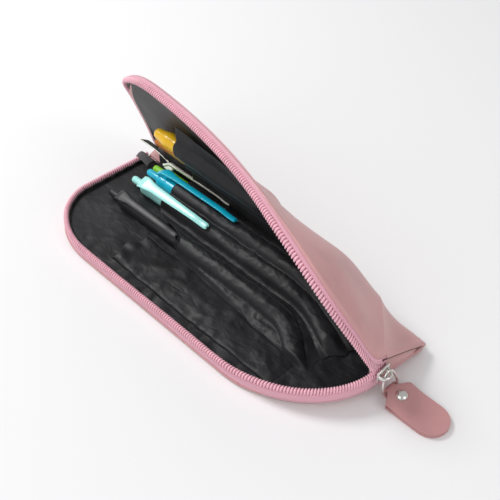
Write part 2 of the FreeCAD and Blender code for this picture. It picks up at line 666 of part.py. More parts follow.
tag_body.Placement.Base = V(0, tag_y, bar_z - fold_far)
hollow = rod("pull_tag_hollow", bar + V(0, -tag_half - 1, 0), bar + V(0, tag_half + 1, 0),
             "Sizes.ring_wire + 0.8")
thin = solid_box(
    "pull_tag_thin", V(neck_end + 8, tag_y - tag_half - 1, bar_z - fold_far + 2 * tag_thick),
    V(tag_end + 1, tag_y + tag_half + 1, bar_z + fold_far + 1))
keep("pull_tag", cut("pull_tag_cut", cut("pull_tag_open", tag_body, hollow), thin))
rivet_x = tag_start + value("Sizes.rivet_inset")
tag_top = bar_z + fold_far
rivet_at = V(rivet_x, tag_y, tag_top)
head = doc.addObject("Part::Cone", "rivet_head")
head.setExpression("Radius1", "Sizes.rivet_width / 2")
head.setExpression("Radius2", "Sizes.rivet_width / 2 - 1.4")
head.setExpression("Height", "Sizes.rivet_dome")
head.Placement.Base = rivet_at
doc.recompute()
keep("tag_rivet", head)

# ---------------------------------------------------------------- checks and export
doc.recompute()
for made in doc.Objects:
    if "Invalid" in made.State or "Error" in made.State:
        raise RuntimeError(f"{made.Label} failed: {made.State}")
os.makedirs("parts", exist_ok=True)
for node, made in nodes.items():
    shape = made.Shape
    if shape.isNull() or not shape.isValid() or not shape.Solids:
        raise RuntimeError(f"{node} has no valid solid")
    shape.exportStep(f"parts/{node}.step")
print(f"{len(nodes)} nodes written")
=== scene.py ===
import json
import math

import bmesh
import bpy
from mathutils import Matrix, Vector, noise
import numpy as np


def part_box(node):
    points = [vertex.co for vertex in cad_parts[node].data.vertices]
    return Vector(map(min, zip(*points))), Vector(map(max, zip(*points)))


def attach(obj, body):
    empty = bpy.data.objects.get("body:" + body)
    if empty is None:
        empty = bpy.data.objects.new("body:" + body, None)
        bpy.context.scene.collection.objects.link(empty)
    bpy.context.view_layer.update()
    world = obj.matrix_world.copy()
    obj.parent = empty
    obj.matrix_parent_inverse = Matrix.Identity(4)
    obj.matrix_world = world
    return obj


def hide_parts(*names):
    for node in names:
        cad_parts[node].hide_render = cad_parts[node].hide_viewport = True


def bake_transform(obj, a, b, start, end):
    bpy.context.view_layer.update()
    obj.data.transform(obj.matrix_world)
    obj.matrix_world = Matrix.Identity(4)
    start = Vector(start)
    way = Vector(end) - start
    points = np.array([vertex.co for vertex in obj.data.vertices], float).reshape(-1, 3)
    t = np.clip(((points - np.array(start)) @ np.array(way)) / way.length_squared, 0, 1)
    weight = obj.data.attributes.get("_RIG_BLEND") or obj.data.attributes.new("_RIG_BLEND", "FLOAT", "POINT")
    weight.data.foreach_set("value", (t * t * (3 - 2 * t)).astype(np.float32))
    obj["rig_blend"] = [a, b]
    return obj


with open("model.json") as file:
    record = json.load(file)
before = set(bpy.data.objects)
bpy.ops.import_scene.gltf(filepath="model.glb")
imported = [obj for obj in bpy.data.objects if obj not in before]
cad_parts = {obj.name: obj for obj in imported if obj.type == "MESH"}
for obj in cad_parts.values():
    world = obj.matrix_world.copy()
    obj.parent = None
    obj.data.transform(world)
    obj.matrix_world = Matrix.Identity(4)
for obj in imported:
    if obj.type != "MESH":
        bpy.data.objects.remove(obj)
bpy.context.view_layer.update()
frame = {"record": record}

# Lengths below are millimetres until a piece is finished. y is counted from the part's middle
# line, so the spine lies along y = 40.5. An outline place s runs from 0, at the spine's open
# end, round the case to 1, at the spine's shut end.
MM = 0.001
SPINE_Y, HINGE_Z = 40.5, 5.0
OPENING = math.radians(69.5)
HALF_LENGTH, DEPTH = 107.5, 81.0
LEFT_CORNER, RIGHT_CORNER = (45.0, 36.0), (60.0, 45.0)
CHAIN_Z, CHAIN_LIFT, LIFT_FROM = 8.7, 7.1, 42.0
SLIDER_AT = Vector((107.1, 4.0, 15.83))
PULL_BAR = Vector((112.4, 8.5, 2.35))
TOOTH_PITCH = 1.5
STAVES = ("tip", "mid", "shoulder", "heel", "corner")
MIDDLE_STAVE_SHARE = 0.91


# ---------------------------------------------------------------- camera, light and world
def set_up_view():
    """Camera, soft studio light and a pale world."""
    eye = Vector((0.24610, -0.21153, 0.31857))
    target = Vector((-0.00463, 0.03001, 0.0))
    data = bpy.data.cameras.new("camera")
    data.sensor_width, data.lens = 36.0, 61.29
    data.clip_start, data.clip_end = 0.01, 20.0
    camera = bpy.data.objects.new("camera", data)
    camera.matrix_world = Matrix.Translation(eye) @ (
        (target - eye).to_track_quat("-Z", "Y").to_matrix().to_4x4())
    bpy.context.collection.objects.link(camera)
    bpy.context.scene.camera = camera

    for name, place, aim, size, power in (
            ("key_light", (-0.80, -0.20, 0.95), (0.0, 0.0, 0.0), 0.50, 9.0),
            ("front_light", (0.10, -0.95, 0.80), (0.0, 0.0, 0.02), 0.9, 3.0),
            ("right_light", (1.0, 0.15, 0.60), (0.05, 0.0, 0.02), 0.6, 2.0)):
        lamp = bpy.data.lights.new(name, "AREA")
        lamp.shape, lamp.size, lamp.energy = "DISK", size, power
        light = bpy.data.objects.new(name, lamp)
        light.matrix_world = Matrix.Translation(Vector(place)) @ (
            (Vector(aim) - Vector(place)).to_track_quat("-Z", "Y").to_matrix().to_4x4())
        bpy.context.collection.objects.link(light)

    world = bpy.data.worlds.new("studio")
    world.use_nodes = True
    world.node_tree.nodes["Background"].inputs["Color"].default_value = (0.97, 0.97, 0.98, 1)
    world.node_tree.nodes["Background"].inputs["Strength"].default_value = 0.50
    bpy.context.scene.world = world
    bpy.context.scene.view_settings.view_transform = "Standard"


set_up_view()


# ---------------------------------------------------------------- materials
class Finish:
    """Builds one procedural material."""

    def __init__(self, name, roughness, metallic=0.0, specular=0.5, coat=0.0, sheen=0.0):
        self.made = bpy.data.materials.new(name)
        self.made.use_nodes = True
        self.tree = self.made.node_tree
        self.shader = self.tree.nodes["Principled BSDF"]
        for socket, amount in (("Roughness", roughness), ("Metallic", metallic),
                               ("Specular IOR Level", specular), ("Coat Weight", coat),
                               ("Sheen Weight", sheen)):
            self.shader.inputs[socket].default_value = amount
        self.coords = self.node("ShaderNodeTexCoord")
        self.height = None

    def node(self, kind, **settings):
        made = self.tree.nodes.new(kind)
        for key, amount in settings.items():
            if hasattr(made, key):
                setattr(made, key, amount)
            else:
                made.inputs[key.replace("_", " ")].default_value = amount
        return made

    def link(self, source, target):
        self.tree.links.new(source, target)

    def pattern(self, kind, stretch=(1, 1, 1), on="Object", **settings):
        """A texture on the piece's own coordinates, stretched by three factors."""
        mapping = self.node("ShaderNodeMapping")
        mapping.inputs["Scale"].default_value = stretch
        self.link(self.coords.outputs[on], mapping.inputs["Vector"])
        texture = self.node(kind, **settings)
        self.link(mapping.outputs["Vector"], texture.inputs["Vector"])
        return texture

    def colours(self, source, stops):
        ramp = self.node("ShaderNodeValToRGB")
        while len(ramp.color_ramp.elements) < len(stops):
            ramp.color_ramp.elements.new(0.5)
        for element, (at, colour) in zip(ramp.color_ramp.elements, stops):
            element.position, element.color = at, (*colour, 1)
        self.link(source, ramp.inputs["Fac"])
        self.link(ramp.outputs["Color"], self.shader.inputs["Base Color"])
        return ramp

    def roughen(self, source, low, high):
        spread = self.node("ShaderNodeMapRange")
        spread.inputs["To Min"].default_value, spread.inputs["To Max"].default_value = low, high
        self.link(source, spread.inputs["Value"])
        self.link(spread.outputs["Result"], self.shader.inputs["Roughness"])

    def bump(self, source, depth, strength=1.0):
        """Adds a relief of a depth in millimetres."""
        made = self.node("ShaderNodeBump")
        made.inputs["Distance"].default_value = depth * MM
        made.inputs["Strength"].default_value = strength
        self.link(source, made.inputs["Height"])
        if self.height:
            self.link(self.height, made.inputs["Normal"])
        self.height = made.outputs["Normal"]
        self.link(self.height, self.shader.inputs["Normal"])


def leather(name, tone, depth=0.09):
    """Smooth dyed leather: fine grain, faint mottling and soft creases."""
    made = Finish(name, 0.42, specular=0.45, coat=0.06)
    mottle = made.pattern("ShaderNodeTexNoise", Scale=38.0, Detail=5.0, Roughness=0.6)
    made.colours(mottle.outputs["Fac"], (
        (0.30, [c * 0.88 for c in tone]), (0.52, tone), (0.75, [c * 1.07 for c in tone])))
    made.roughen(mottle.outputs["Fac"], 0.36, 0.52)
    creases = made.pattern("ShaderNodeTexNoise", Scale=90.0, Detail=3.0)
    made.bump(creases.outputs["Fac"], 0.5, 0.35)
    grain = made.pattern("ShaderNodeTexVoronoi", Scale=1500.0, feature="SMOOTH_F1")
    made.bump(grain.outputs["Distance"], depth, 0.6)
    return made.made


def satin(name, tone, crinkle=0.5):
    """Thin black lining cloth with a silky sheen and fine crinkles."""
    made = Finish(name, 0.46, specular=0.36, sheen=0.10)
    made.shader.inputs["Sheen Roughness"].default_value = 0.35
    drift = made.pattern("ShaderNodeTexNoise", Scale=55.0, Detail=4.0)
    made.colours(drift.outputs["Fac"], (
        (0.3, [c * 0.75 for c in tone]), (0.7, [c * 1.3 for c in tone])))
    made.roughen(drift.outputs["Fac"], 0.40, 0.58)
    folds = made.pattern("ShaderNodeTexNoise", stretch=(1.0, 1.8, 1.8), Scale=120.0, Detail=4.0,
                         Distortion=0.7)
    made.bump(folds.outputs["Fac"], 1.1 * crinkle, 0.8)
    threads = made.pattern("ShaderNodeTexWave", stretch=(1, 1, 1), Scale=900.0,
                           bands_direction="DIAGONAL")
    made.bump(threads.outputs["Fac"], 0.03, 0.5)
    return made.made


def woven_tape(name, tone):
    """Herringbone zip tape, on its own map: along the zip and across it."""
    made = Finish(name, 0.75, specular=0.25, sheen=0.3)
    warp = made.pattern("ShaderNodeTexWave", stretch=(430, 0.0, 1), on="UV", Scale=0.5)
    weft = made.pattern("ShaderNodeTexWave", stretch=(0.0, 9, 1), on="UV", Scale=0.35,
                        bands_direction="Y")
    made.colours(weft.outputs["Fac"], (
        (0.0, [c * 0.86 for c in tone]), (0.6, tone), (1.0, [min(1, c * 1.05) for c in tone])))
    made.bump(weft.outputs["Fac"], 0.15, 0.6)
    made.bump(warp.outputs["Fac"], 0.12, 0.7)
    return made.made


def nylon(name, tone):
    made = Finish(name, 0.36, specular=0.5)
    drift = made.pattern("ShaderNodeTexNoise", Scale=260.0, Detail=2.0)
    made.colours(drift.outputs["Fac"], ((0.3, [c * 0.88 for c in tone]), (0.7, tone)))
    made.bump(drift.outputs["Fac"], 0.05, 0.4)
    return made.made


def moulded(name, tone, roughness=0.25, coat=0.2):
    """Injection moulded plastic with a faint orange peel."""
    made = Finish(name, roughness, specular=0.5, coat=coat)
    drift = made.pattern("ShaderNodeTexNoise", Scale=70.0, Detail=3.0)
    made.colours(drift.outputs["Fac"], ((0.25, [c * 0.93 for c in tone]), (0.75, tone)))
    made.roughen(drift.outputs["Fac"], roughness * 0.85, roughness * 1.3)
    peel = made.pattern("ShaderNodeTexNoise", Scale=900.0, Detail=1.0)
    made.bump(peel.outputs["Fac"], 0.02, 0.4)
    return made.made


def plated(name, tone):
    """Nickel plate with faint wear."""
    made = Finish(name, 0.2, metallic=1.0)
    wear = made.pattern("ShaderNodeTexNoise", Scale=420.0, Detail=4.0)
    made.colours(wear.outputs["Fac"], ((0.25, [c * 0.8 for c in tone]), (0.6, tone)))
    made.roughen(wear.outputs["Fac"], 0.12, 0.3)
    made.bump(wear.outputs["Fac"], 0.03, 0.3)
    return made.made


def pencil_lacquer(name):
    """Orange lacquer with fine slanted lines."""
    made = Finish(name, 0.3, specular=0.5, coat=0.25)
    lines = made.pattern("ShaderNodeTexWave", Scale=330.0, bands_direction="DIAGONAL")
    made.colours(lines.outputs["Fac"], ((0.2, (0.36, 0.10, 0.01)), (0.6, (0.70, 0.26, 0.02))))
    made.bump(lines.outputs["Fac"], 0.08, 0.6)
    return made.made


def table_top():
    made = Finish("table_top", 0.9, specular=0.1)
    cloud = made.pattern("ShaderNodeTexNoise", Scale=2.0, Detail=2.0)
    made.colours(cloud.outputs["Fac"], ((0.3, (0.862, 0.862, 0.866)), (0.7, (0.875, 0.875, 0.879))))
    return made.made


ROSE = leather("rose_leather", (0.60, 0.315, 0.315))
SEAM = leather("seam_shadow", (0.10, 0.045, 0.045), 0.03)
ROSE_EDGE = leather("rose_leather_pull", (0.54, 0.27, 0.27), 0.06)
LINING = satin("black_satin", (0.012, 0.012, 0.014))
LINING_SMOOTH = satin("black_satin_smooth", (0.014, 0.014, 0.016), 0.12)
BINDING = satin("black_binding", (0.010, 0.010, 0.011), 0.25)
TAPE = woven_tape("pink_tape", (0.86, 0.44, 0.54))
COIL = nylon("pink_coil", (0.95, 0.53, 0.62))
# Darker pink for the coil's cord: painted shade inside the coil, not a different nylon.
CORE_SHADE = nylon("pink_core_shade", (0.66, 0.31, 0.40))
# Deep pink for the line where teeth meet tape: partly stitching, partly painted shade in the groove.
GROOVE_SHADE = nylon("pink_groove_shade", (0.36, 0.11, 0.17))
GREY_TAPE = woven_tape("grey_tape", (0.10, 0.095, 0.10))
NICKEL = plated("nickel", (0.78, 0.76, 0.73))
MINT = moulded("mint_plastic", (0.45, 0.95, 0.90))
CYAN = moulded("cyan_plastic", (0.005, 0.50, 0.70))
GREEN = moulded("green_plastic", (0.25, 0.66, 0.03))
CREAM = moulded("cream_plastic", (0.93, 0.92, 0.82))
BLACK = moulded("black_plastic", (0.010, 0.010, 0.013), 0.42, 0.0)
YELLOW = moulded("yellow_plastic", (0.98, 0.58, 0.015))
REFILL = moulded("refill_plastic", (0.62, 0.62, 0.62), 0.4)
ORANGE = pencil_lacquer("orange_lacquer")


# ---------------------------------------------------------------- making pieces
def finish_piece(name, bm, material, slot, smooth=True, thickness=0.0, offset=-1.0):
    """Turns a bmesh in millimetres into a piece in metres."""
    bmesh.ops.scale(bm, vec=(MM, MM, MM), verts=bm.verts)
    mesh = bpy.data.meshes.new(name)
    bm.to_mesh(mesh)
    bm.free()
    for face in mesh.polygons:
        face.use_smooth = smooth
    mesh.materials.append(material)
    made = bpy.data.objects.new(name, mesh)
    bpy.context.collection.objects.link(made)
    if thickness:
        wall = made.modifiers.new("wall", "SOLIDIFY")
        wall.thickness, wall.offset = thickness * MM, offset
    return made


def cloth_grid(across, along, point, flip=False):
    """A grid of quads with its own map, moved point by point onto a surface."""
    bm = bmesh.new()
    bm.loops.layers.uv.new("cloth")
    bmesh.ops.create_grid(bm, x_segments=across, y_segments=along, size=0.5, calc_uvs=True)
    for vert in bm.verts:
        vert.co = point(vert.co.x + 0.5, vert.co.y + 0.5)
    if flip:
        bmesh.ops.reverse_faces(bm, faces=bm.faces)
    return bm


def tube(path, rings, sides, section, closed=False):
    """A tube swept along path(t); section(t, turn) gives its offset across and up."""
    def frame_at(t):
        here = path(t)
        ahead = (path(min(1.0, t + 0.002)) - path(max(0.0, t - 0.002))).normalized()
        side = ahead.cross(Vector((0, 0, 1)))
        side = side.normalized() if side.length > 0.05 else Vector((0, 1, 0))
        return here, side, side.cross(ahead).normalized()

    frames = {}

    def point(u, v):
        key = round(v * rings)
        if key not in frames:
            frames[key] = frame_at(v)
        here, side, up = frames[key]
        a, b = section(v, u * math.tau)
        return here + side * a + up * b

    bm = cloth_grid(sides, rings, point)
    bmesh.ops.remove_doubles(bm, verts=bm.verts, dist=0.002)
    if not closed:
        edges = [edge for edge in bm.edges if edge.is_boundary]
        bmesh.ops.holes_fill(bm, edges=edges, sides=0)
    bmesh.ops.recalc_face_normals(bm, faces=bm.faces)
    return bm


def lathe(profile, steps=40):
    """Spins (along, radius) pairs about the x axis."""
    bm = bmesh.new()
    verts = [bm.verts.new((along, 0.0, radius)) for along, radius in profile]
    for first, second in zip(verts, verts[1:]):
        bm.edges.new((first, second))
    bmesh.ops.spin(bm, geom=bm.verts[:] + bm.edges[:], cent=(0, 0, 0), axis=(1, 0, 0),
                   angle=math.tau, steps=steps, use_merge=True, use_duplicate=False)
    bmesh.ops.remove_doubles(bm, verts=bm.verts, dist=0.003)
    bmesh.ops.recalc_face_normals(bm, faces=bm.faces)
    return bm


def joined(*parts):
    """Several bmeshes as one."""
    whole = bmesh.new()
    for part in parts:
        scratch = bpy.data.meshes.new("scratch")
        part.to_mesh(scratch)
        part.free()
        whole.from_mesh(scratch)
        bpy.data.meshes.remove(scratch)
    return whole


def block(size, centre, bevel, segments=3):
    """A box with rounded edges."""
    bm = bmesh.new()
    bmesh.ops.create_cube(bm, size=1.0)
    bmesh.ops.scale(bm, vec=size, verts=bm.verts)
    bmesh.ops.bevel(bm, geom=bm.edges[:] + bm.verts[:], offset=bevel, affect="EDGES",
                    segments=segments, profile=0.5, material=-1)
    bmesh.ops.translate(bm, vec=centre, verts=bm.verts)
    return bm


def ease(t):
    t = max(0.0, min(1.0, t))
    return t * t * (3 - 2 * t)


def mix(a, b, t):
    return a + (b - a) * t


def wave(x, y, seed, size):
    """Smooth noise, about -1 to 1, with bumps a size in millimetres across."""
    return noise.noise(Vector((x / size, y / size, seed * 7.31))) * 1.6


def crumple(x, y, seed, size):
    """Sharp ridges between soft hollows, as in creased satin."""
    total, weight, scale = 0.0, 1.0, size
    for k in range(3):
        total += weight * (1 - 2.2 * abs(wave(x, y, seed + k, scale)))
        weight, scale = weight * 0.5, scale * 0.52
    return total / 1.75


# ---------------------------------------------------------------- the case's shape
def opening_share(x, reach=70.0):
    """How far the lid is open: wide at the free end, shut at the slider, sooner by the spine."""
    u = max(0.0, min(1.0, (x + HALF_LENGTH) / (2 * HALF_LENGTH)))
    held = ease((62 - reach) / 50) * ease((x - 56) / 52)
    return (1 - u ** 1.9) ** 0.4 * (1 - held)


def opened(point, share=None):
    """Turns a point of the shut lid up about the spine."""
    y, z = point.y - SPINE_Y, point.z - HINGE_Z
    turn = OPENING * (opening_share(point.x, math.hypot(y, z)) if share is None else share)
    return Vector((point.x, SPINE_Y + y * math.cos(turn) + z * math.sin(turn),
                   HINGE_Z - y * math.sin(turn) + z * math.cos(turn)))


RUNS = (DEPTH - LEFT_CORNER[1], 62.0, 2 * HALF_LENGTH - LEFT_CORNER[0] - RIGHT_CORNER[0],
        82.0, DEPTH - RIGHT_CORNER[1])
AROUND = sum(RUNS)


def outline(s, inset=0.0):
    """The case seen from above: from the spine round the open end to the shut end."""
    length = s * AROUND
    left_x, left_y = LEFT_CORNER[0] - inset, LEFT_CORNER[1] - inset
    right_x, right_y = RIGHT_CORNER[0] - inset, RIGHT_CORNER[1] - inset
    near = SPINE_Y - DEPTH
    a, b, c, d = RUNS[:4]
    if length < a:
        return Vector((inset - HALF_LENGTH, SPINE_Y - length, 0))
    if length < a + b:
        turn = (length - a) / b * math.pi / 2
        return Vector((LEFT_CORNER[0] - HALF_LENGTH - left_x * math.cos(turn),
                       near + LEFT_CORNER[1] - left_y * math.sin(turn), 0))
    if length < a + b + c:
        return Vector((LEFT_CORNER[0] - HALF_LENGTH + length - a - b, near + inset, 0))
    if length < a + b + c + d:
        turn = (length - a - b - c) / d * math.pi / 2
        return Vector((HALF_LENGTH - RIGHT_CORNER[0] + right_x * math.sin(turn),
                       near + RIGHT_CORNER[1] - right_y * math.cos(turn), 0))
    return Vector((HALF_LENGTH - inset, near + RIGHT_CORNER[1] + (length - a - b - c - d), 0))


def outward(s):
    """The outline's outward direction."""
    way = outline(min(1.0, s + 0.004)) - outline(max(0.0, s - 0.004))
    return Vector((way.y, -way.x, 0)).normalized()


def chain_z(x):
    """Height of the zip's middle line when it is shut."""
    rise = max(0.0, (x - LIFT_FROM) / (HALF_LENGTH - LIFT_FROM))
    return CHAIN_Z + CHAIN_LIFT * rise ** 1.35


def coil_reach(s):
    """How far each coil stands off the middle line; they close up at the slider."""
    return mix(2.2, 1.05, ease((s - (SLIDER_S - 0.05)) / 0.05))


SLIDER_S = (AROUND - RUNS[4] - 1.0) / AROUND
ZIP_END_S = SLIDER_S + 0.012


def rim_wave(s, seed):
    """The soft rim is never quite straight."""
    at = s * AROUND
    hold = ease(s / 0.05) * ease((0.9 - s) / 0.1)
    return hold * (0.55 * wave(at, 0, seed, 34) + 0.25 * wave(at, 3, seed + 1, 13))


def share_out(piece, share=None, most=1.0):
    """Hands each point of a piece to the lid by its own share of the opening.

    The even weights along the case are replaced, because the lid opens unevenly.
    """
    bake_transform(piece, "base", "lid_tip", start=(0.1075, 0.0, 0.0), end=(-0.1075, 0.0, 0.0))
    data = piece.data
    weights = []
    for vert in data.vertices:
        reach = math.hypot(vert.co.y / MM - SPINE_Y, vert.co.z / MM - HINGE_Z)
        weights.append(min(most, opening_share(vert.co.x / MM, reach) if share is None else share))
    data.attributes["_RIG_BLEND"].data.foreach_set("value", weights)


# ---------------------------------------------------------------- base
def base_leather_point(s, v):
    """Low turned-up wall, rounded foot, then the underside in to the spine."""
    at = outline(s)
    out = outward(s)
    top = mix(max(1.6, chain_z(at.x) - 8.4), 4.6, ease((s - 0.91) / 0.08))
    if v < 0.2:
        t = v / 0.2
        under = max(0.0, top - 1.6) * 1.15 * t ** 0.7
        return at + out * (0.35 + 0.5 * math.sin(t * math.pi) - under) + Vector(
            (0, 0, mix(top, 0.7, t)))
    tuck = 1.8 + 1.25 * (top - 1.6)
    if v < 0.35:
        t = (v - 0.2) / 0.15
        place = outline(s, mix(max(-0.35, tuck - 2.0), tuck, t))
        place.z = 0.7 * (1 - t) ** 2
        return place
    t = (v - 0.35) / 0.65
    return outline(s, tuck).lerp(Vector((mix(-105.0, 98.0, s), SPINE_Y - 0.5, 0)), t)


def make_base():
    shell = finish_piece("leather_base", cloth_grid(260, 24, base_leather_point, flip=True),
                         ROSE, "leather", thickness=1.1)
    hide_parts("base_panel", "base_board")
    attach(shell, "base")

    def tape(s_map, v):
        s = s_map * ZIP_END_S
        at = outline(s, 0.15)
        top = chain_z(at.x) - coil_reach(s) - 0.6
        low = max(0.9, chain_z(at.x) - 9.2)
        swell = mix(-0.9, 0.35, ease(v / 0.3)) + 0.12 * rim_wave(s, 4)
        return at + outward(s) * swell + Vector((0, 0, mix(top, low, v)))

    band = finish_piece("base_tape", cloth_grid(420, 10, tape, flip=True), TAPE, "tape",
                        thickness=0.5)
    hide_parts("base_zip_tape")
    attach(band, "base")


def coil_line(s, upper):
    """Middle of one row of teeth, before it turns with the lid."""
    at = outline(s, 0.75)
    at.z = chain_z(at.x) + (coil_reach(s) if upper else -coil_reach(s))
    at += outward(s) * 0.5 * rim_wave(s, 9 if upper else 4)
    return flared(s, at) if upper else at


def coil_bmesh(upper, radius, wide, tall, sides, steps_per_turn):
    """One thread wound round and round along the edge of a tape."""
    length = AROUND * ZIP_END_S
    turns = round(length / TOOTH_PITCH)

    def point(u, v):
        s = v * ZIP_END_S
        at, out = coil_line(s, upper), outward(s)
        along = Vector((-out.y, out.x, 0))
        phase = v * turns * math.tau
        place = at + out * wide * math.cos(phase) + Vector((0, 0, tall * math.sin(phase)))
        around = out * math.cos(phase) * tall + Vector((0, 0, math.sin(phase) * wide))
        around.normalize()
        place += (around * math.cos(u * math.tau) + along * math.sin(u * math.tau)) * radius
        return opened(place) if upper else place

    bm = cloth_grid(sides, turns * steps_per_turn, point)
    bmesh.ops.remove_doubles(bm, verts=bm.verts, dist=0.001)
    bmesh.ops.recalc_face_normals(bm, faces=bm.faces)
    return bm


def core_bmesh(upper):
    """The cord inside the coil, coloured darker than the teeth as painted shade between the coil's turns."""
    def point(u, v):
        s = v * ZIP_END_S
        turn = u * math.tau
        place = coil_line(s, upper) + outward(s) * 0.85 * math.cos(turn)
        place.z += 1.15 * math.sin(turn)
        return opened(place) if upper else place

    bm = cloth_grid(8, 420, point)
    bmesh.ops.remove_doubles(bm, verts=bm.verts, dist=0.001)
    bmesh.ops.recalc_face_normals(bm, faces=bm.faces)
    return bm


def make_coils():
    for upper, label in ((False, "base"), (True, "lid")):
        teeth = finish_piece(f"{label}_teeth", coil_bmesh(
            upper, radius=0.54, wide=1.05, tall=1.5, sides=5, steps_per_turn=10), COIL, "coil")
        # The cord's darker pink is painted shade seen between the coil's turns.
        core = finish_piece(f"{label}_teeth_cord_shade", core_bmesh(upper), CORE_SHADE, "coil")

        def stitched(t):
            """The sewn line where the teeth meet the tape. The dark tube along it is the stitching, darkened
            as painted shade in the groove.
            """
            s = t * ZIP_END_S
            at = outline(s, 0.55)
            reach = coil_reach(s) + 1.95
            at.z = chain_z(at.x) + (reach if upper else -reach)
            at += outward(s) * 0.5 * rim_wave(s, 9 if upper else 4)
            return opened(flared(s, at)) if upper else at

        # A dark tube at the teeth's sewn edge: stitching, darkened as painted shade in the groove.
        stitch = finish_piece(f"{label}_teeth_stitch_shade", tube(
            stitched, 420, 6, lambda t, a: (0.34 * math.cos(a), 0.34 * math.sin(a))),
            GROOVE_SHADE, "coil")
        if upper:
            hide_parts(*[f"lid_coil_{part}" for part in STAVES])
        else:
            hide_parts("base_zip_coil")
        for piece in (teeth, core, stitch):
            if upper:
                share_out(piece)
            else:
                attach(piece, "base")


def floor_height(x, y):
    """The base lining's crumpled floor."""
    near_edge = SPINE_Y - DEPTH + 3
    calm = 0.35 + 0.65 * ease((x + 100) / 45)
    rough = crumple(x, y * 1.3, 2, 30) * 0.85 + crumple(x * 1.4, y, 8, 12) * 0.20
    gathers = ease((near_edge + 15 - y) / 14)
    rows = math.sin(x * 0.55 + 3.0 * wave(x, y, 5, 18)) * 0.42 * gathers * ease((x + 85) / 25)
    return 4.3 + calm * (rough + rows)


def lining_point(s, v):
    """Down the inside of the wall from under the coil, then across the floor."""
    rim = outline(s, 2.5)
    top = mix(chain_z(rim.x) - 3.6, 4.0, ease((s - 0.86) / 0.1))
    if v < 0.16:
        t = v / 0.16
        place = outline(s, 2.5 + 0.9 * math.sin(t * math.pi / 2))
        ruffle = 0.5 * math.sin(s * AROUND * 0.9 + 2 * wave(s * AROUND, 0, 3, 20))
        floor = floor_height(place.x, place.y)
        place.z = mix(top, floor, t * t)
        return place - outward(s) * ruffle * math.sin(t * math.pi)
    t = (v - 0.16) / 0.84
    place = outline(s, 3.4).lerp(Vector((mix(-105.9, 94.0, s), SPINE_Y - 1.5, 0)), t)
    place.z = mix(floor_height(place.x, place.y), 4.2, ease((t - 0.9) / 0.1))
    return place


def ridge_height(x, y):
    """The sewn pocket's channels: one over each pen, spreading toward the shut end."""
    spread = 1 + 0.62 * ease((x - 46) / 45)
    height = 4.6
    for centre, middle, reach, slope in ((-6.6, 7.5, 5.5, 4.0), (-14.4, 11.3, 5.5, 4.0),
                                         (-22.2, 7.5, 5.5, 5.0), (-39.5, 7.5, 5.5, 11.0)):
        empty = ease((x - 30) / 40)
        away = abs(y - SPINE_Y - centre * spread) / mix(1.0, 1.2, empty)
        crown = middle + math.sqrt(max(0.0, reach ** 2 - away ** 2)) if away < reach else middle
        skirt = mix(crown, 4.6, ease((away - reach * 0.8) / slope))
        height = max(height, mix(skirt, 4.6 + (skirt - 4.6) * 0.55, empty))
    return height


def channel_point(u, v):
    """The pocket cloth over the pens: a slanted mouth at the left, a ragged end at the right."""
    y = mix(-0.8, -47.0 - 9.0 * ease(u), v)
    mouth = mix(-61.0, -26.0, ease((-y - 27) / 16))
    end = mix(97.0, 79.0, ease((-y) / 50)) + 2.2 * wave(y, 0, 12, 6)
    x = mix(mouth, end, u)
    sides = ease(v / 0.07) * ease((1 - v) / 0.05)
    down = ease((1 - u) / 0.09)
    lift = ridge_height(x, SPINE_Y + y)
    soft = 0.5 * crumple(x, y * 1.8, 21, 17) + 0.25 * crumple(x, y, 25, 7)
    z = mix(4.4, lift + soft * mix(0.35, 1.0, ease(u * 4)), sides * mix(0.1, 1.0, down))
    return Vector((x, SPINE_Y + y, z))


def flat_pocket_point(u, v):
    """A flat pocket in front of the pens, with a ruffled mouth."""
    x = mix(-49.0 + 2.0 * math.sin(v * 9), 72.0, u)
    y = mix(-46.5 - 6.5 * ease((x + 20) / 90), -72.5, v)
    mouth = (1 - ease(u / 0.10))
    z = floor_height(x, SPINE_Y + y) + 1.0 + mouth * (0.8 + 0.5 * math.sin(v * 17))
    hem = ease(v / 0.1) * ease((1 - v) / 0.06) * ease((1 - u) / 0.03)
    return Vector((x, SPINE_Y + y, z - 0.8 * (1 - hem)))


def make_base_cloth():
    floor = finish_piece("lining_base", cloth_grid(300, 84, lining_point), LINING, "satin",
                         thickness=0.25)
    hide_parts("base_lining")
    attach(floor, "base")

    pocket = finish_piece("pocket_channels", cloth_grid(190, 120, channel_point, flip=True),
                          LINING_SMOOTH, "satin", thickness=0.35)
    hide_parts("pen_channels")
    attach(pocket, "base")

    front = finish_piece("pocket_flat", cloth_grid(120, 26, flat_pocket_point, flip=True),
                         LINING, "satin", thickness=0.35)
    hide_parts("flat_pocket")
    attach(front, "base")

    def seam(t):
        s = 0.006 + t * (ZIP_END_S - 0.006)
        place = outline(s, 2.5)
        place.z = chain_z(place.x) - 3.4 + 0.25 * math.sin(s * AROUND * 0.8)
        return place

    binding = finish_piece(
        "seam_binding", tube(seam, 420, 8, lambda t, a: (0.75 * math.cos(a), 1.1 * math.sin(a))),
        BINDING, "satin")
    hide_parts("base_seam_binding")
    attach(binding, "base")


# ---------------------------------------------------------------- lid
LEAN = Vector((0.998, 0.0281, -0.0557)).normalized()


def axis_start(node, radius):
    """The left end's middle of a rod that lies along LEAN."""
    low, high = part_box(node)
    return Vector((low[0] / MM, low[1] / MM + radius, high[2] / MM - radius))


ROD_STARTS = ((axis_start("marker_cap", 4.8) + Vector((0, -0.3, 0.6)), 4.9, 82.0),
              (axis_start("pencil", 3.3) + Vector((0, 0.6, -3.8)), 3.3, 84.0))


def shut_again(point):
    """Where a point of the open lid's contents lies when the lid is shut."""
    turn = -OPENING * opening_share(point.x)
    y, z = point.y - SPINE_Y, point.z - HINGE_Z
    return Vector((point.x, SPINE_Y + y * math.cos(turn) + z * math.sin(turn),
                   HINGE_Z - y * math.sin(turn) + z * math.cos(turn)))


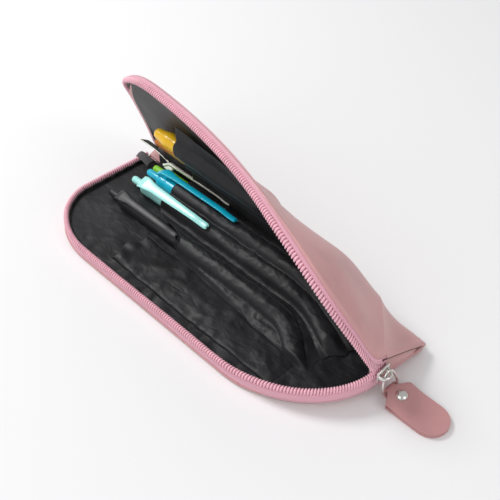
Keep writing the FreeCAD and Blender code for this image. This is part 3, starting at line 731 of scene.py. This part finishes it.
def over_rods(place, above):
    """Pushes a point of the shut lid out to where it clears the marker and the pencil."""
    for start, radius, length in ROD_STARTS:
        along = (place.x - start.x) / LEAN.x
        middle = shut_again(start + LEAN * along)
        near = 1 - ease(abs(place.y - middle.y) / (radius + 10))
        near *= ease((along + 16) / 16) * ease((length + 22 - along) / 22)
        place.z = max(place.z, mix(place.z, middle.z + radius + above, near))
    return place


def lid_edge_z(s):
    """Height of the shut lid's upper edge: low at the spine, and a wedge at the shut end."""
    length = s * AROUND
    x = outline(s).x
    full = chain_z(x) + mix(6.5, 8.3, ease((x - 10) / 80))
    if length < RUNS[0]:
        return mix(chain_z(x) + 5.6, full, ease(length / 30))
    back = AROUND - length
    return mix(6.2, full, min(1.0, back / RUNS[4]) ** 0.9)


def flared(s, place):
    """At the free end nothing holds the lid's tape, and it flares out past the edge."""
    free = ease((0.25 - s) / 0.12)
    drop = max(0.0, lid_edge_z(s) - place.z)
    return place + (outward(s) * 0.42 + Vector((0, 0.62, 1.25))) * (drop * free)


def lid_lift(t):
    """How much of its rise the lid has made a share t of the way out from the spine."""
    return 1 - (1 - t) ** 3.2


def lid_skin(s, t, inward):
    """The shut lid's skin from the spine (t = 0) out to its edge (t = 1), a depth inside it."""
    edge = outline(s, 3.0 + inward * 0.7)
    edge.z = lid_edge_z(s) - inward
    foot = Vector((mix(-105.8, 92.0, s), SPINE_Y, 6.0 - inward))
    place = foot.lerp(edge, t)
    crown = math.sin(math.pi * min(1, t * 1.02)) * (1.6 + 1.2 * wave(place.x, place.y, 31, 60)
                                                + 1.6 * ease((place.x - 5) / 50))
    crown *= 1 - 0.85 * ease((place.x - 62) / 32)
    place.z = mix(foot.z, edge.z, lid_lift(t)) + crown
    return over_rods(place, 2.7 - inward)


def lid_leather_point(s, v):
    if v < 0.8:
        t = v / 0.8
        soft = 0.5 * wave(s * 300, t * 70, 40, 38) * math.sin(math.pi * t)
        return opened(lid_skin(s, t, 0.0) + Vector((0, 0, soft)))
    t = (v - 0.8) / 0.2
    turn = min(1.0, t / 0.45)
    sewn = s > ZIP_END_S
    place = outline(s, 3.0 - (3.3 if sewn else 2.7) * math.sin(turn * math.pi / 2))
    top = lid_edge_z(s)
    bottom = top - 1.5 if sewn else min(top - 1.3, chain_z(place.x) + coil_reach(s) + 3.9)
    place.z = mix(top - 0.9 * (1 - math.cos(turn * math.pi / 2)), bottom,
                  max(0.0, (t - 0.3) / 0.7))
    return opened(flared(s, place))


def lid_tape_point(u, v):
    s = u * ZIP_END_S
    place = outline(s, 0.25)
    swell = mix(-0.9, 0.25, ease(v / 0.35)) - 1.3 * ease((v - 0.5) / 0.5) + 0.1 * rim_wave(s, 9)
    place += outward(s) * swell
    place.z = chain_z(place.x) + mix(coil_reach(s) + 0.7, coil_reach(s) + 4.6, v)
    return opened(flared(s, place))


def lid_lining_point(s, v):
    """Smooth black lining, from the spine to the tape's inner edge, short of the back corner."""
    s *= 0.955
    if v < 0.88:
        t = v / 0.88
        ripple = 0.35 * crumple(s * 345, t * 80, 50, 42) * math.sin(math.pi * t)
        place = lid_skin(s, t * 0.985, 1.9) - Vector((0, 0, ripple + 0.2))
        place.x = min(place.x, 103.4)
        return opened(place)
    t = (v - 0.88) / 0.12
    place = outline(s, mix(3.9, 4.0 if s > ZIP_END_S else 2.4, ease(t)))
    place.z = mix(lid_edge_z(s) - 1.9, min(lid_edge_z(s) - 2.6, chain_z(place.x) + 2.9), t)
    ruffle = 0.22 * math.sin(s * AROUND * 0.55) * math.sin(t * math.pi)
    return opened(flared(s, place - outward(s) * ruffle))


def make_lid():
    skin = finish_piece("leather_lid", cloth_grid(300, 70, lid_leather_point, flip=True),
                        ROSE, "leather", thickness=1.1)
    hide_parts(*[f"lid_panel_{part}" for part in STAVES])
    share_out(skin)

    band = finish_piece("lid_tape", cloth_grid(420, 10, lid_tape_point), TAPE, "tape",
                        thickness=0.5)
    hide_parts(*[f"lid_tape_{part}" for part in STAVES])
    share_out(band)

    inside = finish_piece("lining_lid", cloth_grid(300, 60, lid_lining_point),
                          LINING_SMOOTH, "satin", thickness=0.3)
    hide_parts(*[f"lid_lining_{part}" for part in STAVES])
    share_out(inside)

    def seam(t):
        s = 0.004 + t * (ZIP_END_S - 0.012)
        place = outline(s, 2.5)
        place.z = chain_z(place.x) + 3.2
        return opened(flared(s, place))

    binding = finish_piece(
        "lid_seam_binding",
        tube(seam, 420, 8, lambda t, a: (mix(1.9, 0.8, ease(t / 0.24)) * math.cos(a),
                                         mix(1.9, 0.8, ease(t / 0.24)) * math.sin(a))),
        BINDING, "satin")
    share_out(binding)


def make_spine():
    """The leather back that the lid folds on, and the wedge at the shut end."""
    def back(u, v):
        x = mix(-HALF_LENGTH, HALF_LENGTH - 2.5, u) * 0.985
        angle = mix(-math.pi / 2, math.pi / 2, v)
        shut = Vector((x, SPINE_Y - 0.5 + 2.4 * math.cos(angle), 3.0 + 3.0 * math.sin(angle)))
        return opened(shut, opening_share(x, 2.0) * ease((v - 0.5) / 0.5))

    across, along = 160, 18
    strip = finish_piece("leather_spine", cloth_grid(across, along, back, flip=True), ROSE,
                         "leather", thickness=1.0)
    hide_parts("spine_strip")
    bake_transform(strip, "base", "lid_tip", start=(0.1075, 0, 0), end=(-0.1075, 0, 0))
    weights = []
    for k, vert in enumerate(strip.data.vertices):
        row = k // (across + 1)
        weights.append(opening_share(vert.co.x / MM, 2.0) * ease((row / along - 0.5) / 0.5))
    strip.data.attributes["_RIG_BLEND"].data.foreach_set("value", weights)

    def wedge(u, v):
        y = mix(-1.0, -35.4, u)
        low = Vector((HALF_LENGTH - 0.4, SPINE_Y + y, max(1.2, chain_z(HALF_LENGTH) - 9.0)))
        low.z = mix(1.4, low.z, ease(u * 1.4))
        s = (AROUND + y) / AROUND
        high = Vector((HALF_LENGTH - 2.2, SPINE_Y + y, lid_edge_z(s) - 0.4))
        place = low.lerp(high, v)
        place.x += (1.2 * math.sin(v * math.pi) + 0.5 * wave(y, v * 14, 61, 11)
                    * math.sin(v * math.pi)) * ease(u * 3)
        return place

    gusset = finish_piece("leather_gusset", cloth_grid(60, 24, wedge, flip=True), ROSE, "leather",
                          thickness=1.0)
    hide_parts("end_gusset")
    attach(gusset, "base")

    def join(t):
        y = mix(-3.5, -35.2, t)
        return Vector((HALF_LENGTH + 0.1, SPINE_Y + y, lid_edge_z((AROUND + y) / AROUND) - 1.7))

    seam = finish_piece("gusset_seam", tube(
        join, 60, 8, lambda t, a: (0.45 * math.cos(a), 0.32 * math.sin(a))), SEAM, "leather")
    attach(seam, "base")

    def piping(t):
        z = mix(4.5, 21.0, t)
        return Vector((HALF_LENGTH + 0.1 - 0.4 * t, SPINE_Y - 34.6, z))

    edge = finish_piece("gusset_piping", tube(
        piping, 24, 10, lambda t, a: (0.75 * math.cos(a), 0.75 * math.sin(a))), TAPE, "tape")
    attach(edge, "base")


# ---------------------------------------------------------------- pens
def placed(bm, start, along=Vector((1, 0, 0)), roll=0.0):
    """Moves a piece built along x so that it starts at a point and runs along a direction."""
    turn = Vector((1, 0, 0)).rotation_difference(along.normalized()).to_matrix().to_4x4()
    spin = Matrix.Rotation(roll, 4, "X")
    bmesh.ops.transform(bm, matrix=Matrix.Translation(start) @ turn @ spin, verts=bm.verts)
    return bm


def clip_bmesh(length, root, waist, tip, stand, thick):
    """A tapered spring clip over a barrel's top, with a bent root and a rounded tip."""
    def width(t):
        body = mix(waist, tip, ease((t - 0.2) / 0.75))
        shoulder = mix(root, body, ease((t - 0.08) / 0.16))
        rounded = math.sqrt(max(0.0, 1 - max(0.0, (t - 0.955) / 0.045) ** 2))
        return shoulder * max(0.12, rounded) / 2

    def point(u, v):
        side = (u - 0.5) * 2
        height = stand - 2.4 * (1 - ease(v / 0.08)) - 0.35 * side * side
        height -= 0.7 * ease((v - 0.8) / 0.15)
        return Vector((v * length, side * width(v), height))

    bm = cloth_grid(10, 60, point)
    bmesh.ops.recalc_face_normals(bm, faces=bm.faces)
    bmesh.ops.solidify(bm, geom=bm.faces[:], thickness=thick)
    bmesh.ops.recalc_face_normals(bm, faces=bm.faces)
    return bm


CLIP_BACK = {"green": 4.0, "blue": 0.0, "mint": 0.0, "dark": 0.0}
BUTTON_OUT = 11.0


def pen_barrel(length=128.0, r=4.15):
    return lathe(((0.6, 0.0), (0.0, 2.6), (0.0, 3.5), (0.5, 4.0), (1.3, r + 0.15), (7.0, r + 0.2),
                  (7.6, r), (8.2, r), (50.0, r), (50.3, r - 0.25), (50.9, r - 0.25),
                  (51.2, r), (108.0, r), (114.0, r - 0.25), (121.0, 2.9),
                  (length - 1.5, 1.5), (length, 1.1), (length, 0.0)), 48)


def push_button(out=BUTTON_OUT):
    return lathe(((0.0, 0.0), (0.15, 1.2), (0.7, 1.95), (1.6, 2.25), (out - 1.5, 2.35),
                  (out + 9.0, 2.35), (out + 9.0, 0.0)), 32)


def make_pens():
    pens = (
        # name, depth from the spine, height, button end, colours, slot, clip turn, clip shape
        ("green", 6.6, 7.5, -92.0, GREEN, CREAM, "green", "cream", 34, (56, 2.8, 1.9, 1.3)),
        ("blue", 14.4, 11.3, -87.5, CYAN, CYAN, "blue", "blue", 6, (64, 5.2, 2.8, 2.4)),
        ("mint", 22.2, 7.5, -92.5, MINT, MINT, "mint", "mint", -24, (58, 7.6, 4.9, 2.7)),
        ("dark", 39.5, 7.5, -92.0, BLACK, BLACK, "dark", "dark", -22, (52, 6.4, 3.6, 2.8)))
    for name, depth, height, end, body, clip, slot, clip_slot, turn, shape in pens:
        start = Vector((end + BUTTON_OUT, SPINE_Y - depth, height))
        barrel = finish_piece(f"{name}_barrel", placed(pen_barrel(), start), body, slot)
        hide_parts(f"{name}_pen_barrel")
        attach(barrel, f"{name}_pen")
        button = finish_piece(f"{name}_button", placed(
            push_button(), start - Vector((BUTTON_OUT, 0, 0))), body, slot)
        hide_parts(f"{name}_pen_plunger")
        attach(button, f"{name}_plunger")
        length, root, waist, tip = shape
        blade = clip_bmesh(length, root, waist, tip, 7.0, 1.5)
        foot = block((7.0, root * 0.72, 2.6), (3.8, 0, 4.9), 0.6)
        held = finish_piece(f"{name}_clip", placed(
            joined(blade, foot), start - Vector((CLIP_BACK[name], 0, 0)),
            roll=-math.radians(turn)), clip, clip_slot)
        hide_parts(f"{name}_pen_clip")
        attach(held, f"{name}_pen")


def make_lid_contents():
    cap_start = ROD_STARTS[0][0]
    cap = lathe(((0.4, 0.0), (0.0, 1.2), (0.2, 2.2), (1.0, 2.9), (2.6, 3.3), (5.0, 3.5),
                 (7.5, 4.1), (10.0, 4.75), (12.5, 4.9), (15.0, 4.45), (17.5, 4.5),
                 (20.0, 4.85), (30.0, 4.85), (39.4, 4.85), (40.0, 4.6), (40.0, 0.0)), 48)
    made = finish_piece("marker_top", placed(cap, cap_start, LEAN), YELLOW, "yellow")
    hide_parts("marker_cap")
    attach(made, "marker_cap")
    body = lathe(((36.0, 0.0), (36.0, 3.9), (40.3, 4.0), (40.6, 4.6), (74.0, 4.6),
                  (78.0, 3.6), (81.0, 1.4), (81.5, 0.0)), 40)
    made = finish_piece("marker_body", placed(body, cap_start, LEAN), YELLOW, "yellow")
    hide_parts("marker_barrel")
    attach(made, "marker")

    start = ROD_STARTS[1][0]
    rod = lathe(((0.3, 0.0), (0.0, 1.4), (0.3, 2.9), (1.0, 3.2), (70.0, 3.2), (82.0, 0.6),
                 (83.5, 0.0)), 6)
    bmesh.ops.bevel(rod, geom=[edge for edge in rod.edges if edge.calc_length() > 20],
                    offset=0.35, affect="EDGES", segments=2, profile=0.5, material=-1)
    made = finish_piece("pencil_body", placed(rod, start, LEAN, math.radians(20)), ORANGE,
                        "orange", smooth=False)
    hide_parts("pencil")
    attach(made, "pencil")


POCKET_MOUTH_X = -61.0


def lid_pocket_point(u, v):
    """The lid's pocket: drawn over the marker and the pencil, and sewn down all round."""
    x = mix(POCKET_MOUTH_X + 2.2 * math.sin(v * math.pi), 64.0, u)
    reach = mix(3.5, 52.0, v)
    t = reach / (DEPTH - 3.0)
    level = mix(6.0, lid_edge_z(0.5), lid_lift(t)) - 3.4
    low = level
    for start, radius, length in ROD_STARTS:
        along = (x - start.x) / LEAN.x
        middle = shut_again(start + LEAN * along)
        away = abs(SPINE_Y - middle.y - reach) / (radius + 1.2)
        tapered = ease((length + 18 - along) / 18)
        under = middle.z - (radius + 0.9) * math.sqrt(max(0.0, 1 - min(1.0, away) ** 2))
        under = mix(under, level, ease((away - 0.85) / 1.3))
        low = min(low, mix(level, under, tapered))
    sewn = ease(v / 0.16) * ease((1 - v) / 0.08)
    mouth = 0.6 * math.sin(v * 15) * (1 - ease(u / 0.06)) * sewn
    z = mix(level, low, sewn) - mouth - 0.3 * crumple(x, reach, 71, 34)
    return opened(Vector((x, SPINE_Y - reach, z)))


def make_lid_pocket():
    made = finish_piece("pocket_lid", cloth_grid(150, 60, lid_pocket_point),
                        LINING_SMOOTH, "satin", thickness=0.35)
    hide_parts("lid_pocket")
    share_out(made, most=MIDDLE_STAVE_SHARE)


def make_tails():
    """The zip's two loose tape ends beside the spine."""
    def lower(u, v):
        x = mix(-98.0, -108.5, u)
        fray = 0.4 * math.sin(v * 40) * ease((u - 0.9) / 0.1)
        return Vector((x - fray, SPINE_Y - 3.0 - 4.6 * v,
                       7.0 + 2.6 * math.sin(u * 2.2) - 1.6 * v + 0.8 * math.sin(v * 3.1)))

    made = finish_piece("tape_end_base", cloth_grid(24, 16, lower), GREY_TAPE, "tag_tail",
                        thickness=0.7, offset=0)
    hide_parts("base_zip_tail")
    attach(made, "base")

    tip, top, end = Vector((-111.0, 0, 16.5)), Vector((-100.5, 0, 19.5)), Vector((-84.0, 0, 13.2))

    def upper(u, v):
        place = tip.lerp(end, u).lerp(tip.lerp(top, min(1.0, u * 1.6)).lerp(end, max(0, u - 0.4)),
                                      v)
        return place + Vector((0, SPINE_Y - 1.6 + 1.2 * math.sin(u * 3), 0.0))

    made = finish_piece("tape_end_lid", cloth_grid(30, 10, upper), BINDING, "satin",
                        thickness=0.6, offset=0)
    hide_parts("lid_zip_tail")
    share_out(made, 1.0)

    def hem(t):
        return upper(t, 0.0) + Vector((0, -0.2, 0))

    made = finish_piece("tape_end_hem", tube(
        hem, 30, 8, lambda t, a: (0.35 * math.cos(a), 0.5 * math.sin(a))), CREAM, "satin")
    share_out(made, 1.0)


# ---------------------------------------------------------------- slider and pull
def make_slider():
    x, y, z = SLIDER_AT
    plates = []
    for near, far in ((x - 3.0, x - 1.7), (x + 1.8, x + 3.0)):
        plate = block((far - near, 8.4, 8.6), (0, 0, 0), 0.55, 4)
        for vert in plate.verts:
            nose = ease((-vert.co.y) / 4.2)
            vert.co.z *= mix(1.0, 0.72, nose) * (1 - 0.10 * abs(vert.co.y / 4.2) ** 3)
        bmesh.ops.translate(plate, vec=((near + far) / 2, y, z), verts=plate.verts)
        plates.append(plate)
    post = block((4.4, 1.6, 1.4), (x, y + 3.0, z), 0.3)
    made = finish_piece("slider_shell", joined(*plates, post), NICKEL, "nickel")
    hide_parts("slider_body")
    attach(made, "slider")

    def arch(t):
        angle = mix(-0.5, math.pi + 0.5, t)
        return Vector((x + 3.0 + max(-0.4, 3.4 * math.sin(angle)), y - 3.5 * math.cos(angle), z))

    bar = tube(arch, 40, 14, lambda t, a: (
        0.55 * math.cos(a) * (1 + 0.2 * math.sin(t * math.pi)),
        mix(1.5, 1.0, math.sin(t * math.pi)) * math.sin(a)))
    made = finish_piece("slider_arch", bar, NICKEL, "nickel")
    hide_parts("slider_bridge")
    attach(made, "slider")

    top, low = Vector((111.25, 4.0, 15.83)), PULL_BAR
    across = Vector((0, -0.7071, -0.7071)) * 5.0
    wide = Vector((0, -5.0, 0))
    corners = (top + across, low + wide, low - wide, top - across)

    def loop(t):
        """Round the four corners, each cut by a curve."""
        k = int(min(3.999, t * 4))
        part = t * 4 - k
        a, b, c = corners[k - 1], corners[k], corners[(k + 1) % 4]
        start, end = a.lerp(b, 0.5), b.lerp(c, 0.5)
        cut = 0.72
        first, second = start.lerp(b, cut), end.lerp(b, cut)
        p = start * (1 - part) ** 3 + first * 3 * part * (1 - part) ** 2
        p += second * 3 * part ** 2 * (1 - part) + end * part ** 3
        return p + Vector((0.9 * math.sin(math.pi * ((p.z - 2) / 14)), 0, 0))

    wire = tube(loop, 96, 12, lambda t, a: (0.68 * math.cos(a), 0.68 * math.sin(a)), closed=True)
    made = finish_piece("pull_wire", wire, NICKEL, "nickel")
    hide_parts("pull_ring")
    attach(made, "pull_ring")


def tag_half_width(x):
    """Narrow neck, full width past the rivet, round end."""
    wide = mix(3.9, 9.0, ease((x - 113.0) / 4.0))
    if x > 135.2:
        wide *= math.sqrt(max(0.0, 1 - ((x - 135.2) / 9.0) ** 2))
    return wide


def make_tag():
    bar_x, middle_y, bar_z = PULL_BAR
    far = 144.15

    def strip(u, v):
        side = (v - 0.5) * 2
        if u < 0.44:
            t = u / 0.44
            x, z = mix(far, bar_x, t), mix(0.75, 0.72, t)
        elif u < 0.56:
            angle = mix(-math.pi / 2, -math.pi * 1.5, (u - 0.44) / 0.12)
            x, z = bar_x + 1.62 * math.cos(angle), bar_z + 1.62 * math.sin(angle)
        else:
            t = (u - 0.56) / 0.44
            x = mix(bar_x, far, t)
            z = mix(3.97, 2.12, ease(t / 0.42)) + 0.25 * math.sin(t * math.pi)
        half = tag_half_width(min(x, far - 0.02))
        soft = 0.16 * side * side
        return Vector((x, middle_y + half * side, z - (soft if u > 0.5 else 0.0)))

    made = finish_piece("pull_leather", cloth_grid(120, 16, strip, flip=True), ROSE_EDGE,
                        "leather", thickness=1.25, offset=0.0)
    edge = made.modifiers.new("edge", "BEVEL")
    edge.width, edge.segments = 0.25 * MM, 2
    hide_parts("pull_tag")
    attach(made, "pull_tag")

    head = lathe(((2.0, 0.0), (1.95, 0.9), (1.6, 2.0), (1.0, 2.7), (0.4, 3.05), (0.0, 3.1),
                  (-0.9, 3.1), (-0.9, 0.0)), 40)
    made = finish_piece("rivet_cap", placed(head, Vector((118.6, middle_y, 3.75)),
                                            Vector((0.10, 0, 1.0))), NICKEL, "nickel")
    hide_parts("tag_rivet")
    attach(made, "pull_tag")


make_base()
make_coils()
make_base_cloth()
make_lid()
make_spine()
make_pens()
make_lid_contents()
make_lid_pocket()
make_tails()
make_slider()
make_tag()


FLOOR_HALF_WIDTH = 3000
floor_bm = bmesh.new()
bmesh.ops.create_grid(floor_bm, x_segments=2, y_segments=2, size=FLOOR_HALF_WIDTH)
table = finish_piece("table_top_floor", floor_bm, table_top(), "leather", smooth=False)

LEFT_OVER = {"leather": ROSE, "board": BLACK, "satin": LINING_SMOOTH, "tape": TAPE,
             "coil": COIL, "nickel": NICKEL, "green": GREEN, "cream": CREAM, "blue": CYAN,
             "mint": MINT, "dark": BLACK, "refill": REFILL, "yellow": YELLOW,
             "orange": ORANGE, "tag_tail": GREY_TAPE}
for part in frame["record"]["subparts"]:
    node = bpy.data.objects.get(part["node"])
    if node and node.type == "MESH":
        node.data.materials.clear()
        node.data.materials.append(LEFT_OVER[part["material_slot"]])
